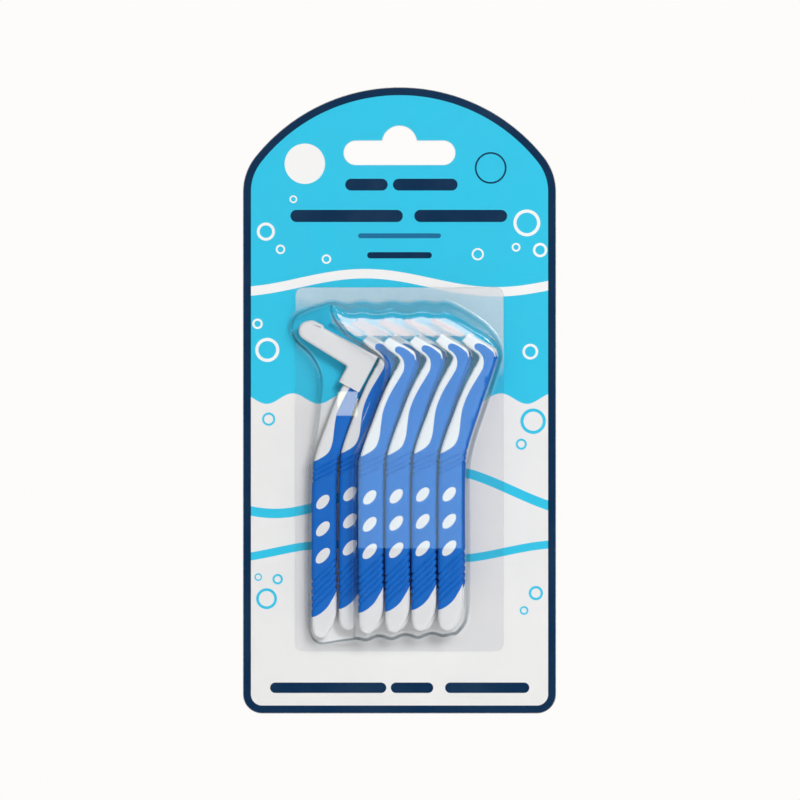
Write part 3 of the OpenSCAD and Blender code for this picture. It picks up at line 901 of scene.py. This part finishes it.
handle, grip = brush_meshes()
kinds = (("handle", handle, "core_plastic", white_mat), ("grip", grip, "soft_grip", grip_mat),
         ("wire", wire_mesh(), "steel_wire", steel_mat),
         ("bristles", bristle_mesh(), "nylon_bristle", nylon_mat))
for k, (px, py, pz) in enumerate(places, 1):
    body = "front_brushes" if k in front_row else "back_brushes"
    for kind, mesh, slot, mat in kinds:
        new_piece(f"b{k}_{kind}", mesh, body, f"brush_{k}_{kind}", mat, (px, -py, pz - HANG))

px, py, pz = places[0]
new_piece("cap", cap_mesh(), "cap", "travel_cap", white_mat, (px - 0.16, -py, pz - HANG))
new_piece("film", film_mesh(), "film", "blister", film_mat)
mesh = nodes["backing_card"].data
mesh.materials.clear()
mesh.materials.append(card_mat)


# Studio

AWAY, VIEW_W, SENSOR = 1.6, 0.23, 36  # lens to card, the width seen there, and the sensor's in mm
LENS_X, LENS_Z = 0.00014, -0.0788
MIDDLE, BELOW = (0, 0, -0.08), (0, 0.1, -0.3)
# name, place, target, side and power of each square lamp
LAMPS = (("key", (0.5, -1.3, 0.5), MIDDLE, 0.42, 10.4),
         ("fill", (0.55, -1.35, 0.4), MIDDLE, 0.6, 1.4),
         ("weak_fill", (-0.2, -1.5, 0.55), MIDDLE, 0.6, 1.4),
         ("back", (0.2, 1.2, 0.7), MIDDLE, 0.9, 9),
         ("top", (0, 0.6, 1.5), BELOW, 1.3, 11))
# Panels beside the lens, seen in the film's flat fronts: mild ones over most of the high front, a
# bright one along its top, and one for the low front, moved aside because that front leans. Each
# has its name, the x and z range that its mirror image fills, its light, colour and shift.
MILD = (0.58, 0.88, 0.97)
PANELS = (("upper_panel", -0.0175, 0.0285, -0.072, -0.0604, 3.4, MILD, 0),
          ("middle_panel", -0.0175, 0.0243, -0.084, -0.072, 3.4, MILD, 0),
          ("lower_panel", -0.0175, 0.0204, -0.1213, -0.084, 3.4, MILD, 0),
          ("bright_panel", -0.0190, 0.022, -0.0604, -0.0530, 13, (1, 0.72, 0.6), 0),
          ("low_panel", -0.0179, -0.0121, -0.0833, -0.0764, 8, (1, 0.94, 0.6), -0.064))
AROUND = 0.22  # the world's strength as light
MIRRORED, MIRRORED_BACK = 0.1, 0.1  # in gloss, and how much more of it behind the card
FLOOR_HALF, FLOOR_Z = 1.2, -0.3


def add_camera(scene):
    cam = bpy.data.cameras.new("camera")
    cam.sensor_width = SENSOR
    cam.lens = SENSOR * AWAY / VIEW_W
    cam.clip_start = 0.05
    cam.clip_end = 20
    eye = bpy.data.objects.new("camera", cam)
    eye.location = (LENS_X, -AWAY, LENS_Z)
    eye.rotation_euler = (math.radians(90), 0, 0)
    scene.collection.objects.link(eye)
    scene.camera = eye


def add_lamp(scene, name, at, target, size, power, color=(1, 1, 1)):
    """An area lamp of a size (width, height) that faces the target."""
    data = bpy.data.lights.new(name, "AREA")
    data.shape = "RECTANGLE"
    data.size, data.size_y = size
    data.energy = power
    data.color = color
    o = bpy.data.objects.new(name, data)
    o.location = at
    o.rotation_euler = (Vector(target) - Vector(at)).to_track_quat("-Z", "Y").to_euler()
    scene.collection.objects.link(o)
    o.visible_camera = False
    return o


def add_world(scene):
    """White where the camera looks past the object, and much weaker as light and in gloss."""
    scene.world = bpy.data.worlds.new("world")
    p = Paint(scene.world, "OutputWorld")
    behind = (p.xyz("Generated")[1] * 2.2).clamped(1.1)
    mirrored = MIRRORED + behind * MIRRORED_BACK
    strength = AROUND + (mirrored - AROUND) * p.rays("Is Glossy Ray")
    seen = p.rays("Is Camera Ray", "Is Transmission Ray")
    strength = strength + (1.0 - strength) * seen
    p.end(p.add("Background", Color=rgb(253, 252, 250), Strength=strength))


def add_floor(scene):
    mesh = bpy.data.meshes.new("floor")
    r = FLOOR_HALF
    mesh.from_pydata([(x, y, FLOOR_Z) for x, y in ((-r, -r), (r, -r), (r, r), (-r, r))],
                     [], [(0, 1, 2, 3)])
    p = Paint(bpy.data.materials.new("floor"))
    tone = p.mix(p.noise(6, detail=2), rgb(250, 249, 247), rgb(247, 246, 244))
    mesh.materials.append(p.surface(Base_Color=tone, Roughness=0.8))
    o = bpy.data.objects.new("floor", mesh)
    scene.collection.objects.link(o)


scene = bpy.context.scene
scene.view_settings.view_transform = "Standard"
add_camera(scene)
for name, at, target, side, power in LAMPS:
    add_lamp(scene, name, at, target, (side, side), power)
for name, x0, x1, z0, z1, light, color, shift in PANELS:
    w, h = 2 * (x1 - x0), 2 * (z1 - z0)
    at = (x0 + x1 - LENS_X + shift, -AWAY - 0.01, z0 + z1 - LENS_Z)
    panel = add_lamp(scene, name, at, (at[0], 0, at[2]), (w, h), light * math.pi * w * h, color)
    panel.visible_diffuse = False
add_world(scene)
add_floor(scene)
